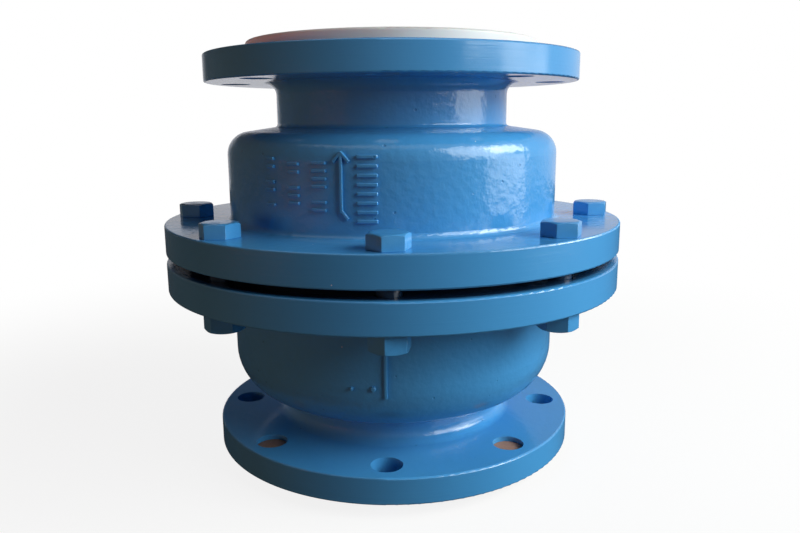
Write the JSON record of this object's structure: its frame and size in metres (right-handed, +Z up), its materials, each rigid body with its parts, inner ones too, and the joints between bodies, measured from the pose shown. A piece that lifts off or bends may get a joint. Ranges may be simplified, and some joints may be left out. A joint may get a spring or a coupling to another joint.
{
  "type": "ptfe-lined non-return valve",
  "caption": "Vertical lift non-return valve: flanged castings bolted at mid-height, PTFE lined all through, with a stemmed disc that rises with the flow and drops shut.",
  "frame": {"origin": "centre of the lower PTFE sealing face, on which the valve stands", "axes": "+Z up along the pipe in the flow direction; -Y is the front, with one end-flange bolt hole on it"},
  "size_m": [0.347, 0.3469, 0.314],
  "materials": {
    "casting_paint": "gloss blue enamel over a sand-cast skin",
    "fastener_paint": "gloss blue enamel over steel, brushed on thick",
    "ptfe_lining": "moulded and skimmed PTFE, waxy white",
    "ptfe_moulding": "machined PTFE, waxy white",
    "core_steel": "turned steel"
  },
  "bodies": {
    "valve_body": {"upper_body": "casting_paint", "lower_body": "casting_paint", "upper_liner": "ptfe_lining", "lower_liner": "ptfe_lining", "guide_spider": "ptfe_moulding", "guide_bush": "ptfe_moulding", "joint_bolt_1": "fastener_paint", "joint_bolt_2": "fastener_paint", "joint_bolt_3": "fastener_paint", "joint_bolt_4": "fastener_paint", "joint_bolt_5": "fastener_paint", "joint_bolt_6": "fastener_paint", "joint_bolt_7": "fastener_paint", "joint_bolt_8": "fastener_paint", "joint_nut_1": "fastener_paint", "joint_nut_2": "fastener_paint", "joint_nut_3": "fastener_paint", "joint_nut_4": "fastener_paint", "joint_nut_5": "fastener_paint", "joint_nut_6": "fastener_paint", "joint_nut_7": "fastener_paint", "joint_nut_8": "fastener_paint"},
    "disc": {"disc_shell": "ptfe_moulding", "disc_core": "core_steel", "stem_rod": "core_steel"}
  },
  "joints": [
    {"name": "disc_lift", "type": "slide", "parent": "valve_body", "child": "disc", "axis": [0, 0, 1], "range_m": [0, 0.038]}
  ]
}
